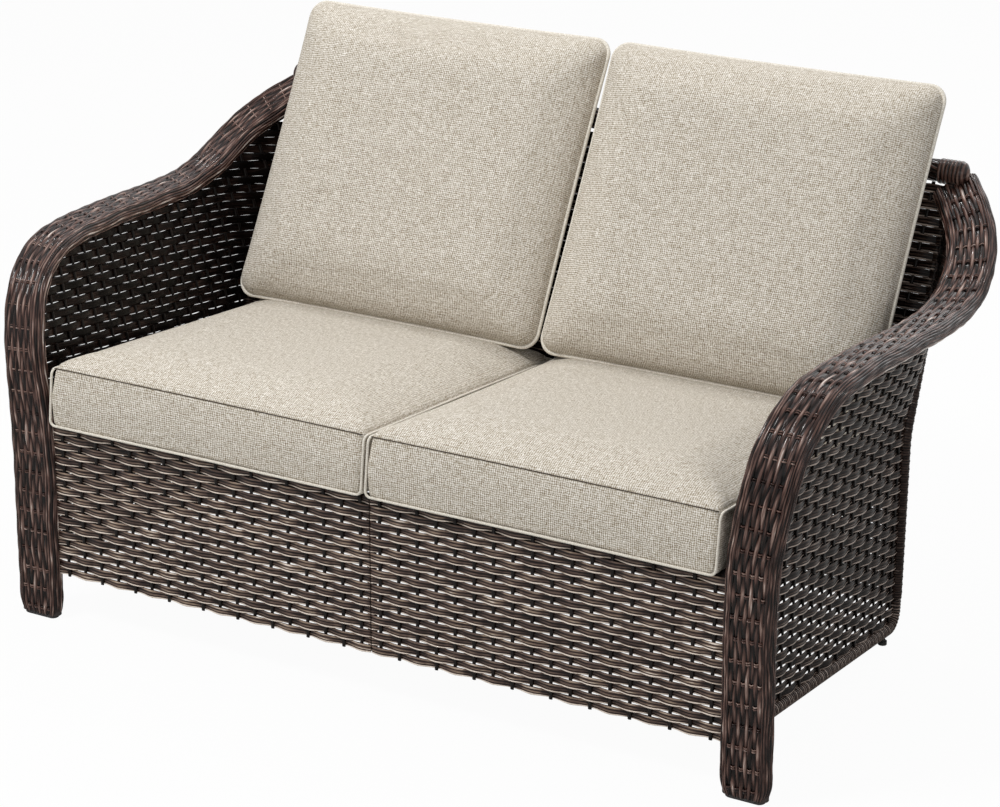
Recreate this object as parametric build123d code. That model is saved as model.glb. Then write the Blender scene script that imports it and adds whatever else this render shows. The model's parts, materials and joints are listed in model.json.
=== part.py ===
from build123d import *
import math
import os

import numpy as np

# A two-seat patio loveseat: bent metal tubes carry woven panels and two broad woven
# arm bands, and four loose cushions sit on flat bars and lean on the top rail.
# X runs to the sitter's left and right, Y runs back, Z runs up, and all sizes are
# millimetres. The origin is under the middle of the whole piece, on the floor.

# Whole piece
overall_depth = 831.2
top_rail_distance = 801.0
leg_spread = 606.0
leg_setback = 21.0
back_height = 700.0
contact_gap = 0.3

# Arm band: two tubes side by side inside a woven sleeve
tube_diameter = 20.0
tube_wall = 1.2
sleeve_clearance = 0.4
sleeve_thickness = 3.6
band_width = 78.0
arm_flare = 65.0
section_turn = 26.0
band_stations = 36
tie_diameter = 8.0
foot_height = 5.0
foot_inset = 2.0
foot_plug_height = 14.0

# Route of the band: shares of the flare, of the way to the top rail, of the height
# of the top rail, and of the turn of the section about the upright
arm_route_shares = [
    (0.045, 0.0, 0.0, 0.0),
    (0.02, 0.0, 0.22, 0.0),
    (0.0, 0.0, 0.43, 0.0),
    (0.05, 0.0, 0.529, 0.18),
    (0.13, 0.004, 0.6, 0.3),
    (0.24, 0.015, 0.672, 0.42),
    (0.35, 0.039, 0.741, 0.53),
    (0.47, 0.079, 0.79, 0.6),
    (0.57, 0.135, 0.822, 0.65),
    (0.67, 0.22, 0.832, 0.72),
    (0.76, 0.32, 0.829, 0.84),
    (0.87, 0.44, 0.82, 1.0),
    (0.96, 0.57, 0.809, 1.05),
    (1.0, 0.69, 0.808, 0.95),
    (0.985, 0.765, 0.824, 0.8),
    (0.89, 0.828, 0.856, 0.72),
    (0.68, 0.884, 0.893, 0.6),
    (0.37, 0.93, 0.924, 0.5),
    (0.0, 0.97, 0.952, 0.5),
    (-0.3, 1.0, 0.97, 0.6),
]
tie_height_shares = [0.11, 0.2, 0.44, 0.62]

# Side tube: bottom rail and back post, one bent tube on each side
rail_diameter = 16.0
rail_wall = 1.2
wrap_thickness = 1.8
rail_spread = 597.5
post_lean_in = 12.0
rail_front_height = 101.0
rail_rear_height = 14.0
rail_bend = 25.0
post_distance = 592.0
post_kink_height = 335.0
post_bend = 90.0
wrap_rise = 22.0
glide_inset = 45.0
glide_diameter = 14.0
glide_height = 6.0
stem_diameter = 8.0

# Top rail
top_tube_diameter = 25.0
top_wrap_thickness = 4.5
top_rail_half = 598.0
cap_thickness = 3.0
rear_rail_height = 64.0

# Woven panels and skirt
panel_thickness = 5.0
panel_knee_share = 0.62
slot_columns = 12
slot_rows = 12
slot_column_pitch = 58.0
slot_row_pitch = 39.0
slot_length = 26.0
slot_height = 4.0
slot_margin = 24.0
skirt_setback = 22.0
skirt_bottom_height = 78.5
skirt_rod_diameter = 8.0
skirt_seam_gap = 1.0
skirt_bar_width = 14.0
skirt_bar_thickness = 4.0

# Seat frame
seat_slope = 7.5
seat_rail_diameter = 22.0
seat_rail_wall = 1.4
cross_rail_diameter = 20.0
side_rail_spread = 546.0
slat_thickness = 3.0
slat_width = 36.0
slat_count = 6
slat_end_gap = 2.0
slat_margin = 60.0

# Bolts that hold the seat frame to the arms
bolt_diameter = 6.0
bolt_hole_clearance = 0.3
bolt_head_diameter = 11.0
bolt_head_height = 4.0
bolt_reach = 16.0
front_bolt_reach = 34.0
bolt_spacing = 24.0
bolt_edge = 12.0
washer_thickness = 1.5
washer_sink = 6.0
washer_diameter = 14.0
bracket_thickness = 3.0
bracket_length = 22.0
bracket_sink = 4.0

# Seat cushions
seat_front_height = 337.8
seat_cushion_thickness = 91.0
seat_cushion_width = 563.0
seat_cushion_depth = 599.0
seat_crown = 31.5
seat_corner = 9.0
seat_corner_ease = 0.9
seat_side_bend = 300.0
seat_draw_in = 3.0
cushion_gap = 1.4
seat_piping_diameter = 4.0
cover_thickness = 2.0
corner_limit_share = 0.4
seat_crown_shares = [(0.45, 0.02), (0.72, 0.05), (0.88, 0.095), (0.97, 0.16), (1.0, 0.26)]
seat_boxing_shares = [(0.0, 0.0), (0.3, 1.0), (0.7, 1.0), (1.0, 0.0)]
seat_boxing_swell = 2.5

# Back cushions
back_rest_depth = 78.07
back_foot_distance = 528.5
back_foot_height = 388.4
back_cushion_width = 568.0
back_cushion_shift = 6.0
back_cushion_height = 521.0
back_corner = 34.0
back_draw_in = 2.5
back_front_crown = 62.0
back_rear_crown = 66.1
back_piping_diameter = 7.0
back_crown_shares = [
    (0.2, 0.01),
    (0.42, 0.034),
    (0.63, 0.075),
    (0.81, 0.135),
    (0.94, 0.22),
    (1.0, 0.34),
]

# Places worked out from the sizes above
band_thickness = tube_diameter + 2 * (sleeve_clearance + sleeve_thickness)
tube_offset = (band_width - band_thickness) / 2
seat_nose_y = -overall_depth / 2
leg_y = seat_nose_y + leg_setback
foot_x = leg_spread + arm_route_shares[0][0] * arm_flare
post_y = leg_y + post_distance
top_wrap_radius = top_tube_diameter / 2 + top_wrap_thickness
top_rail_y = seat_nose_y + top_rail_distance
skirt_y = seat_nose_y + skirt_setback
wrap_radius = rail_diameter / 2 + wrap_thickness
seat_plane = Plane(
    origin=(0, seat_nose_y, seat_front_height),
    x_dir=(1, 0, 0),
    z_dir=(0, math.sin(math.radians(seat_slope)), math.cos(math.radians(seat_slope))),
)
seat_rail_drop = contact_gap + slat_thickness + seat_rail_diameter / 2
cross_rail_drop = contact_gap + slat_thickness + cross_rail_diameter / 2
back_rise = back_height - back_foot_height
back_run = top_rail_distance - back_foot_distance
rest_reach = math.hypot(back_run, back_rise)
back_lean = math.degrees(math.atan2(back_run, back_rise) - math.asin(back_rest_depth / rest_reach))
back_plane = Plane(
    origin=(0, seat_nose_y + back_foot_distance, back_foot_height),
    x_dir=(1, 0, 0),
    z_dir=(0, -math.cos(math.radians(back_lean)), math.sin(math.radians(back_lean))),
)


def keep_largest(shape):
    """The largest solid of a cut shape."""
    return max(shape.solids(), key=lambda solid: solid.volume)


def smooth_through(points, count):
    """Rows along a smooth curve through the points: each span is a cubic whose end
    slopes are those of the chords to its neighbours, evenly spaced by chord length."""
    points = np.array(points, float)
    steps = np.linalg.norm(np.diff(points[:, :3], axis=0), axis=1)
    at = np.concatenate([[0.0], np.cumsum(steps)])
    slopes = np.gradient(points, at, axis=0)
    along = np.linspace(0.0, at[-1], count)
    span = np.clip(np.searchsorted(at, along, side="right") - 1, 0, len(steps) - 1)
    length = steps[span][:, None]
    u = ((along - at[span])[:, None]) / length
    start, end = points[span], points[span + 1]
    rise, fall = slopes[span] * length, slopes[span + 1] * length
    bend = u * u * (3 - 2 * u)
    return start + (end - start) * bend + rise * u * (1 - u) ** 2 - fall * u * u * (1 - u)


def band_planes():
    """Planes across the right arm band, from the foot to inside the top rail. Each
    has X across the band and Z along it."""
    reach = top_rail_y - leg_y
    places = [
        (leg_spread + x * arm_flare, leg_y + y * reach, z * back_height, turn * section_turn)
        for x, y, z, turn in arm_route_shares
    ]
    places[0] = (foot_x, leg_y, foot_height, 0)
    rows = smooth_through(places, band_stations)
    planes = []
    for i, row in enumerate(rows):
        before = rows[max(i - 1, 0)][:3]
        after = rows[min(i + 1, len(rows) - 1)][:3]
        along = Vector(*(after - before)).normalized()
        across = (Vector(1, 0, 0) - along * along.X).normalized()
        plane = Plane(origin=tuple(row[:3]), x_dir=across, z_dir=along)
        planes.append(plane.rotated((0, 0, float(row[3]))))
    planes[0] = Plane(origin=planes[0].origin, x_dir=(1, 0, 0), z_dir=(0, 0, 1))
    return planes


def loft_along(planes, section):
    """A ruled loft of one section placed on each plane."""
    return Solid(loft([plane * section for plane in planes], ruled=True).wrapped)


def bent_tube(points, radii, radius):
    """A round bar along straight runs joined by tangent arcs."""
    path = FilletPolyline(*points, radius=radii)
    return sweep(Plane(origin=path @ 0, z_dir=path % 0) * Circle(radius), path=path)


def bar_between(start, end, radius):
    """A round bar from one point to another."""
    start, end = Vector(*start), Vector(*end)
    plane = Plane(origin=start, z_dir=(end - start).normalized())
    return plane.location * Pos(0, 0, (end - start).length / 2) * Cylinder(radius, (end - start).length)


def pipe_between(start, end, radius, wall):
    """A round tube from one point to another."""
    return bar_between(start, end, radius) - bar_between(start, end, radius - wall)


def seat_point(x, along, above):
    """A point given across the seat, back along its slope and square to it."""
    return tuple(seat_plane.from_local_coords(Vector(x, along, above)))


def along_for_y(y, above):
    """How far along the seat slope a point square above it meets the given Y."""
    slope = math.radians(seat_slope)
    return (y - seat_nose_y - above * math.sin(slope)) / math.cos(slope)


def box_between(low, high):
    """A block between two corners."""
    size = [b - a for a, b in zip(low, high)]
    middle = [(a + b) / 2 for a, b in zip(low, high)]
    return Pos(*middle) * Box(*size)


def outline(width, depth, corner, draw_in):
    """A cushion's outline: four shallow arcs pulled in by draw_in at mid side, with
    rounded corners."""
    w, d = width / 2, depth / 2
    corners = [(-w, -d), (w, -d), (w, d), (-w, d)]
    middles = [(0, -d + draw_in), (w - draw_in, 0), (0, d - draw_in), (-w + draw_in, 0)]
    sides = [ThreePointArc(corners[i], middles[i], corners[(i + 1) % 4]) for i in range(4)]
    face = make_face(Curve() + sides)
    return fillet(face.vertices(), corner)


def cushion_levels(levels, width, depth, corner, draw_in, trim):
    """A ruled loft of outlines, one for each height and inset, all of them drawn in
    by trim."""
    faces = []
    for height, inset in levels:
        across = width - 2 * (inset + trim)
        up = depth - 2 * (inset + trim)
        rounding = min(corner + inset / 2, corner_limit_share * min(across, up))
        faces.append(Pos(0, 0, height) * outline(across, up, rounding, draw_in))
    return Solid(loft(faces, ruled=True).wrapped)


def seat_levels(trim):
    """Heights and insets of a seat cushion, bottom to crown."""
    box_height = seat_cushion_thickness - 2 * trim
    levels = [
        (trim + share * box_height, -swell * seat_boxing_swell)
        for share, swell in seat_boxing_shares
    ]
    top = seat_cushion_thickness - trim
    levels += [
        (top + rise * seat_crown, inset * seat_cushion_width)
        for rise, inset in seat_crown_shares
    ]
    return levels


def back_levels(trim):
    """Heights and insets of a back cushion, from its rear crown through the seam to
    its front crown."""
    rear = [
        (-rise * (back_rear_crown - trim), inset * back_cushion_height)
        for rise, inset in reversed(back_crown_shares)
    ]
    front = [
        (rise * (back_front_crown - trim), inset * back_cushion_height)
        for rise, inset in back_crown_shares
    ]
    return rear + [(0, 0)] + front


def seat_piping_line(width):
    """The line of the seat piping: along one side of the top, down the front corner,
    under the front face, up the other corner, back, and along the rear of the top."""
    radius = seat_piping_diameter / 2
    half = width / 2 - radius
    inner = half - seat_corner_ease
    front = radius + seat_corner_ease
    back = seat_cushion_depth - radius
    middle = seat_cushion_depth / 2
    top = seat_cushion_thickness
    points = [
        (-half, back, top),
        (seat_draw_in - half, middle, top),
        (-inner, front, top),
        (-inner, front, radius),
        (0, radius + seat_draw_in, radius),
        (inner, front, radius),
        (inner, front, top),
        (half - seat_draw_in, middle, top),
        (half, back, top),
        (0, back - seat_draw_in, top),
    ]
    round_ones = [seat_corner, seat_side_bend, seat_corner, seat_corner, seat_side_bend]
    bends = round_ones + [seat_corner, seat_corner, seat_side_bend, seat_corner, seat_side_bend]
    return FilletPolyline(*points, radius=bends, close=True)


def seat_cushion(side):
    """Cover, foam and piping of one seat cushion, side being 1 or -1."""
    trim = seat_piping_diameter / 2 + contact_gap + seat_boxing_swell
    width = seat_cushion_width - cushion_gap
    middle = side * (cushion_gap + width) / 2
    spot = seat_plane.location * Pos(middle, seat_cushion_depth / 2, 0)
    sizes = (width, seat_cushion_depth, seat_corner, seat_draw_in)
    outer = cushion_levels(seat_levels(0), *sizes, trim)
    hollow = cushion_levels(seat_levels(cover_thickness), *sizes, trim + cover_thickness)
    inner_trim = cover_thickness + contact_gap
    foam = cushion_levels(seat_levels(inner_trim), *sizes, trim + inner_trim)
    line = seat_piping_line(width)
    start = Plane(origin=line @ 0, z_dir=line % 0)
    piping = sweep(start * Circle(seat_piping_diameter / 2), path=line)
    place = seat_plane.location * Pos(middle, 0, 0)
    return spot * (outer - hollow), spot * foam, [place * piping]


def back_cushion(side):
    """Cover, filling and piping of one back cushion, side being 1 or -1."""
    trim = back_piping_diameter + contact_gap
    width = back_cushion_width - cushion_gap
    middle = side * (cushion_gap + width) / 2 + back_cushion_shift
    spot = back_plane.location * Pos(middle, back_cushion_height / 2, 0)
    sizes = (width, back_cushion_height, back_corner, back_draw_in)
    outer = cushion_levels(back_levels(0), *sizes, trim)
    hollow = cushion_levels(back_levels(cover_thickness), *sizes, trim + 2 * cover_thickness)
    inner_trim = cover_thickness + contact_gap
    filling = cushion_levels(back_levels(inner_trim), *sizes, trim + 2 * inner_trim)
    wire = outline(
        width - back_piping_diameter,
        back_cushion_height - back_piping_diameter,
        back_corner,
        back_draw_in,
    ).face().outer_wire()
    start = Plane(origin=wire @ 0, z_dir=wire % 0)
    piping = sweep(start * Circle(back_piping_diameter / 2), path=wire)
    return spot * (outer - hollow), spot * filling, [spot * piping]


def bolt_set(seat, way, reach, sink):
    """A bolt whose tip runs the given way from its seat, its washer that sinks past
    the seat, and the hole it needs."""
    seat, way = Vector(*seat), Vector(*way)
    under = seat - way * washer_thickness
    crown = under - way * bolt_head_height
    tip = seat + way * reach
    shank = bar_between(under, tip, bolt_diameter / 2)
    head = bar_between(crown, under, bolt_head_diameter / 2)
    hole = bar_between(crown, tip, bolt_diameter / 2 + bolt_hole_clearance)
    washer = bar_between(under, seat + way * sink, washer_diameter / 2) - hole
    return keep_largest(shank + head), washer, hole


def rear_bracket(face_x, y, rail_z):
    """A saddle plate against the post that hangs from the rear seat rail, with its
    bolts, their washers and holes, and the room they take."""
    low = rail_z - seat_rail_diameter / 2 - bolt_spacing - 2 * bolt_edge
    inner_x = face_x - bracket_thickness
    near, far = y - bracket_length / 2, y + bracket_length / 2
    plate = box_between((inner_x, near, low), (face_x + bracket_sink, far, rail_z))
    sets = [
        bolt_set((inner_x, y, low + bolt_edge + rise), (1, 0, 0), bolt_reach, 0)
        for rise in (0, bolt_spacing)
    ]
    for bolt, washer, hole in sets:
        plate = plate - hole
    room_x = inner_x - washer_thickness - bolt_head_height - contact_gap
    room = box_between(
        (room_x, near - contact_gap, low - contact_gap),
        (face_x + bracket_sink, far + contact_gap, rail_z),
    )
    return plate, sets, room


def side_path():
    """Corner points of the right side tube: bottom rail, post and lean."""
    return [
        (rail_spread, leg_y, rail_front_height),
        (rail_spread, post_y, rail_rear_height),
        (rail_spread, post_y, post_kink_height),
        (rail_spread - post_lean_in, top_rail_y, back_height),
    ]


def side_panel(planes, blockers):
    """The woven panel that fills the right side between leg, bottom rail, post and
    arm band, cut to meet them."""
    half = panel_thickness / 2
    rail_slope = (rail_rear_height - rail_front_height) / (post_y - leg_y)
    lean_run = top_rail_y - post_y

    def section(top, low_x, low, knee_share):
        knee = low + knee_share * (top.Z - low)
        corners = [
            (low_x - half, top.Y, low),
            (low_x + half, top.Y, low),
            (low_x + half, top.Y, knee),
            (top.X + half, top.Y, top.Z),
            (top.X - half, top.Y, top.Z),
            (low_x - half, top.Y, knee),
        ]
        return make_face(Polyline(*corners, close=True))

    tops = [plane.from_local_coords(Vector(-tube_offset, 0, 0)) for plane in planes]
    tops = [top for top in tops if top.Y > leg_y + tube_wall]
    front = [top for top in tops if top.Y < post_y]
    rear = [top for top in tops if post_y <= top.Y < top_rail_y - top_wrap_radius]
    edge = front[-1] + (rear[0] - front[-1]) * ((post_y - front[-1].Y) / (rear[0].Y - front[-1].Y))
    lower = [
        section(top, rail_spread, rail_front_height + rail_slope * (top.Y - leg_y), panel_knee_share)
        for top in front + [edge]
    ]
    edge_knee = rail_rear_height + panel_knee_share * (edge.Z - rail_rear_height)
    knee_share = (edge_knee - post_kink_height) / (edge.Z - post_kink_height)
    upper = []
    for top in [edge] + rear:
        way = (top.Y - post_y) / lean_run
        low = post_kink_height + (back_height - post_kink_height) * way
        upper.append(section(top, rail_spread - post_lean_in * way, low, knee_share))
    panel = loft(lower, ruled=True) + loft(upper, ruled=True)
    for blocker in blockers:
        panel = panel - blocker
    return keep_largest(panel - panel_slots(tops))


def panel_slots(tops):
    """Blocks that cut a plain grid of slots through the side panel, for the see-through
    gaps of the weave. The rows run as the bottom rail does, and a slot that would come
    near the arm band or the post is left out."""
    slope = math.atan2(rail_rear_height - rail_front_height, post_y - leg_y)
    width = arm_flare + 2 * tube_diameter
    block = Rot(math.degrees(slope), 0, 0) * Box(2 * width, slot_length, slot_height)
    blocks = []
    for row in range(slot_rows):
        for column in range(slot_columns):
            stagger = (row % 2) * slot_column_pitch / 2
            y = leg_y + slot_margin + slot_length + column * slot_column_pitch + stagger
            z = rail_front_height + math.tan(slope) * (y - leg_y) + slot_margin + row * slot_row_pitch
            nearest = min(tops, key=lambda top: abs(top.Y - y))
            post_way = max(0.0, (z - post_kink_height) / (back_height - post_kink_height))
            post_edge = post_y + post_way * (top_rail_y - post_y)
            if z < nearest.Z - slot_row_pitch and y < post_edge - slot_margin:
                blocks.append(Pos(rail_spread, y, z) * block)
    return blocks


def back_profile(low, high):
    """Side view of the slab in the plane of the posts between two heights."""
    half = panel_thickness / 2
    lean = math.atan2(top_rail_y - post_y, back_height - post_kink_height)
    kink_shift = half * math.tan(lean / 2)
    top = (high - post_kink_height) * math.tan(lean)
    points = [
        (post_y - half, low),
        (post_y + half, low),
        (post_y + half, post_kink_height - kink_shift),
        (post_y + half / math.cos(lean) + top, high),
        (post_y - half / math.cos(lean) + top, high),
        (post_y - half, post_kink_height + kink_shift),
    ]
    return make_face(Polyline(*points, close=True))


def save(name, shape):
    """Writes one node, a solid or a group of them."""
    solids = []
    for item in shape if isinstance(shape, list) else [shape]:
        solids += item.solids()
    body = solids[0] if len(solids) == 1 else Compound(solids)
    export_step(body, "parts/" + name + ".step")


def save_pair(name, shape):
    """Writes the right node and its mirror image as the left one."""
    shapes = shape if isinstance(shape, list) else [shape]
    save(name + "_right", shapes)
    save(name + "_left", [item.mirror(Plane.YZ) for item in shapes])


os.makedirs("parts", exist_ok=True)

# Arm band tubes, sleeve and ties
planes = band_planes()
band_outer = loft_along(planes, SlotOverall(band_width, band_thickness))
hollow_width = band_width - 2 * sleeve_thickness
band_hollow = loft_along(planes, SlotOverall(hollow_width, band_thickness - 2 * sleeve_thickness))
tube_solids = {
    place: loft_along(planes, Pos(shift, 0) * Circle(tube_diameter / 2))
    for place, shift in (("inner", -tube_offset), ("outer", tube_offset))
}
tube_bores = {
    place: loft_along(planes, Pos(shift, 0) * Circle(tube_diameter / 2 - tube_wall))
    for place, shift in (("inner", -tube_offset), ("outer", tube_offset))
}
top_ends = [(side * top_rail_half, top_rail_y, back_height) for side in (-1, 1)]
cap_reach = top_rail_half + cap_thickness
cap_ends = [(side * cap_reach, top_rail_y, back_height) for side in (-1, 1)]
top_tube = bar_between(*top_ends, top_tube_diameter / 2)
top_outer = bar_between(*top_ends, top_wrap_radius)
top_block = bar_between(*cap_ends, top_wrap_radius)
side_bar = bent_tube(side_path(), [rail_bend, post_bend], rail_diameter / 2)
side_bore = bent_tube(side_path(), [rail_bend, post_bend], rail_diameter / 2 - rail_wall)

# Seat rails
front_along = along_for_y(skirt_y + (panel_thickness + seat_rail_diameter) / 2, -seat_rail_drop)
rear_along = along_for_y(post_y, -seat_rail_drop)
front_rail_ends = [seat_point(side * leg_spread, front_along, -seat_rail_drop) for side in (-1, 1)]
rear_rail_ends = [seat_point(side * rail_spread, rear_along, -seat_rail_drop) for side in (-1, 1)]
front_bar = bar_between(*front_rail_ends, seat_rail_diameter / 2)
rear_bar = bar_between(*rear_rail_ends, seat_rail_diameter / 2)
rod_y = skirt_y + (panel_thickness + skirt_rod_diameter) / 2
rod_z = skirt_bottom_height + skirt_rod_diameter / 2
rod_ends = [(side * leg_spread, rod_y, rod_z) for side in (-1, 1)]
rod_bar = bar_between(*rod_ends, skirt_rod_diameter / 2)

# Bolts of the seat frame: one through each end of the front rail into the leg tube,
# two through a saddle plate into each post
bolt_seat_y = front_rail_ends[0][1] + seat_rail_diameter / 2
bolt_seat = (leg_spread - tube_offset, bolt_seat_y, front_rail_ends[0][2])
front_set = bolt_set(bolt_seat, (0, -1, 0), front_bolt_reach, washer_sink)
post_face_x = rail_spread - rail_diameter / 2
plate, rear_sets, bracket_room = rear_bracket(post_face_x, post_y, rear_rail_ends[0][2])
bolt_holes = [hole for bolt, washer, hole in [front_set, *rear_sets]]
bolts = [bolt for bolt, washer, hole in [front_set, *rear_sets]]
save("seat_bolts", bolts + [bolt.mirror(Plane.YZ) for bolt in bolts])
washers = [keep_largest(front_set[1] - front_bar)] + [washer for bolt, washer, hole in rear_sets]
save("seat_washers", washers + [washer.mirror(Plane.YZ) for washer in washers])
plate = keep_largest(plate - rear_bar - side_bar)
save("rear_brackets", [plate, plate.mirror(Plane.YZ)])

for place in ("inner", "outer"):
    tube = tube_solids[place] - tube_bores[place] - top_tube - (top_block - top_outer)
    for hole in bolt_holes:
        tube = tube - hole
    save_pair("arm_tube_" + place, keep_largest(tube))
wrap_bar = bent_tube(
    [
        (rail_spread, leg_y, rail_front_height),
        (rail_spread, post_y, rail_rear_height),
        (rail_spread, post_y, rail_rear_height + rail_bend + wrap_rise),
    ],
    [rail_bend],
    wrap_radius,
)
sleeve = band_outer - band_hollow - top_block - front_bar - rod_bar - side_bar
for hole in bolt_holes:
    sleeve = sleeve - hole
save_pair("arm_band", keep_largest(sleeve))
ties = []
for share in tie_height_shares:
    plane = planes[round(share * (band_stations - 1))]
    start = plane.from_local_coords(Vector(-tube_offset, 0, 0))
    end = plane.from_local_coords(Vector(tube_offset, 0, 0))
    tie = bar_between(tuple(start), tuple(end), tie_diameter / 2)
    ties.append(keep_largest(tie - tube_solids["inner"] - tube_solids["outer"]))
save_pair("band_ties", ties)

# Front feet: an oval plate under each leg with a plug up each tube
foot_plate = extrude(SlotOverall(band_width - 2 * foot_inset, band_thickness - 2 * foot_inset), foot_height)
foot = Pos(foot_x, leg_y, 0) * foot_plate
plug_radius = tube_diameter / 2 - tube_wall - contact_gap
for shift in (-tube_offset, tube_offset):
    plug_middle = foot_height + foot_plug_height / 2
    foot += Pos(foot_x + shift, leg_y, plug_middle) * Cylinder(plug_radius, foot_plug_height)
save_pair("front_foot", foot)

# Side tubes with the wound cover of their bottom rails, and the rear glides
side_tube = side_bar - side_bore - top_tube - tube_solids["inner"] - tube_solids["outer"]
for hole in bolt_holes:
    side_tube = side_tube - hole
save_pair("side_tube", keep_largest(side_tube))
save_pair("rail_wrap", keep_largest(wrap_bar - side_bar - band_outer))
glide_y = post_y - glide_inset
glide = Pos(rail_spread, glide_y, glide_height / 2) * Cylinder(glide_diameter / 2, glide_height)
stem_top = rail_rear_height + wrap_radius
glide += Pos(rail_spread, glide_y, stem_top / 2) * Cylinder(stem_diameter / 2, stem_top)
glide = keep_largest(glide - wrap_bar)
save_pair("rear_glide", glide)

# Back: top rail, rear bottom rail and centre posts
low_ends = [(side * rail_spread, post_y, rear_rail_height) for side in (-1, 1)]
rear_low = bar_between(*low_ends, rail_diameter / 2)
rear_low_bore = bar_between(*low_ends, rail_diameter / 2 - rail_wall)
left_side_bar = side_bar.mirror(Plane.YZ)
rear_low_cut = rear_low - rear_low_bore - side_bar - left_side_bar - wrap_bar - wrap_bar.mirror(Plane.YZ)
save("rear_bottom_rail", keep_largest(rear_low_cut))
post_points = [(0, post_y, rear_rail_height), (0, post_y, post_kink_height), (0, top_rail_y, back_height)]
post_bar = bent_tube(post_points, [post_bend], rail_diameter / 2)
top_bore = bar_between(*top_ends, top_tube_diameter / 2 - rail_wall)
save("top_rail_tube", top_tube - top_bore)
top_wrap = top_outer - top_tube - post_bar
for arm_tube in (*tube_solids.values(), side_bar):
    top_wrap = top_wrap - arm_tube - arm_tube.mirror(Plane.YZ)
save("top_rail_wrap", keep_largest(top_wrap))
caps = []
for side in (-1, 1):
    cap_middle = side * (top_rail_half + cap_thickness / 2)
    disc = Rot(0, 90, 0) * Cylinder(top_wrap_radius, cap_thickness)
    caps.append(Pos(cap_middle, top_rail_y, back_height) * disc)
save("top_rail_caps", caps)

# Seat frame
front_bore = bar_between(*front_rail_ends, seat_rail_diameter / 2 - seat_rail_wall)
rear_bore = bar_between(*rear_rail_ends, seat_rail_diameter / 2 - seat_rail_wall)
front_rail = front_bar - front_bore
for blocker in (*tube_solids.values(), bolt_holes[0]):
    front_rail = front_rail - blocker - blocker.mirror(Plane.YZ)
save("seat_front_rail", keep_largest(front_rail))
save("seat_rear_rail", keep_largest(rear_bar - rear_bore - side_bar - left_side_bar))
rail_radius = cross_rail_diameter / 2
cross_bars = {}
cross_places = {"side_rail_left": -side_rail_spread, "center_rail": 0, "side_rail_right": side_rail_spread}
for name, x in cross_places.items():
    start = seat_point(x, front_along, -cross_rail_drop)
    end = seat_point(x, rear_along, -cross_rail_drop)
    cross_bars[name] = bar_between(start, end, rail_radius)
    rail = pipe_between(start, end, rail_radius, seat_rail_wall) - front_bar - rear_bar
    save("seat_" + name, keep_largest(rail))
slat_step = (rear_along - front_along - 2 * slat_margin) / (slat_count - 1)
for name, side in (("left", -1), ("right", 1)):
    slats = []
    slat_length = side_rail_spread - slat_end_gap + rail_radius
    for i in range(slat_count):
        place = front_along + slat_margin + i * slat_step
        x_middle = side * (slat_end_gap + slat_length) / 2
        block = Box(slat_length - slat_end_gap, slat_width, slat_thickness)
        slats.append(seat_plane.location * Pos(x_middle, place, -contact_gap - slat_thickness / 2) * block)
    save("seat_slats_" + name, slats)

post_bore = bent_tube(post_points, [post_bend], rail_diameter / 2 - rail_wall)
center_post = post_bar - post_bore
for blocker in (rear_bar, rear_low, top_tube, cross_bars["center_rail"]):
    center_post = center_post - blocker
post_pieces = sorted(center_post.solids(), key=lambda solid: solid.volume)[-2:]
post_pieces.sort(key=lambda solid: solid.center().Z)
save("apron_center_post", post_pieces[0])
save("back_center_post", post_pieces[-1])

# Front skirt: rod, centre bar and two woven panels
rod = rod_bar
for tube in tube_solids.values():
    rod = rod - tube - tube.mirror(Plane.YZ)
save("skirt_rod", keep_largest(rod))
bar_low = rod_z + skirt_rod_diameter / 2
bar_y = skirt_y + panel_thickness / 2
center_bar = box_between(
    (-skirt_bar_width / 2, bar_y, bar_low),
    (skirt_bar_width / 2, bar_y + skirt_bar_thickness, front_rail_ends[0][2]),
)
save("skirt_center_bar", keep_largest(center_bar - front_bar))
skirt_top = seat_front_height - 2 * slat_thickness
skirt = box_between(
    (skirt_seam_gap / 2, skirt_y - panel_thickness / 2, skirt_bottom_height),
    (leg_spread, skirt_y + panel_thickness / 2, skirt_top),
)
save_pair("skirt_panel", keep_largest(skirt - band_outer))

# Side and back panels
side_blockers = [band_outer, side_bar, wrap_bar, top_outer, front_bar, rear_bar, rear_low]
save_pair("side_panel", side_panel(planes, side_blockers))
back_sheet = Plane.YZ * back_profile(rear_rail_height, back_height)
back_sheet = extrude(back_sheet, rail_spread)
back_blockers = [side_bar, wrap_bar, band_outer, top_outer, rear_bar, rear_low, post_bar]
for blocker in (*back_blockers, cross_bars["side_rail_right"], bracket_room):
    back_sheet = back_sheet - blocker
sheets = sorted(back_sheet.solids(), key=lambda solid: solid.volume)[-2:]
sheets.sort(key=lambda solid: solid.center().Z)
save_pair("rear_apron", sheets[0])
save_pair("back_panel", sheets[1])

# Cushions
for name, side in (("left", -1), ("right", 1)):
    cover, foam, piping = seat_cushion(side)
    save("seat_cover_" + name, cover)
    save("seat_foam_" + name, foam)
    save("seat_piping_" + name, piping)
    cover, filling, piping = back_cushion(side)
    save("back_cover_" + name, cover)
    save("back_filling_" + name, filling)
    save("back_piping_" + name, piping)
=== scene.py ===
"""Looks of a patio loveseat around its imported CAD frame, in metres, for Blender 4.5."""

import json
from math import acos, atan2, cos, pi, prod, radians, sin, tan, tau

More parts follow.
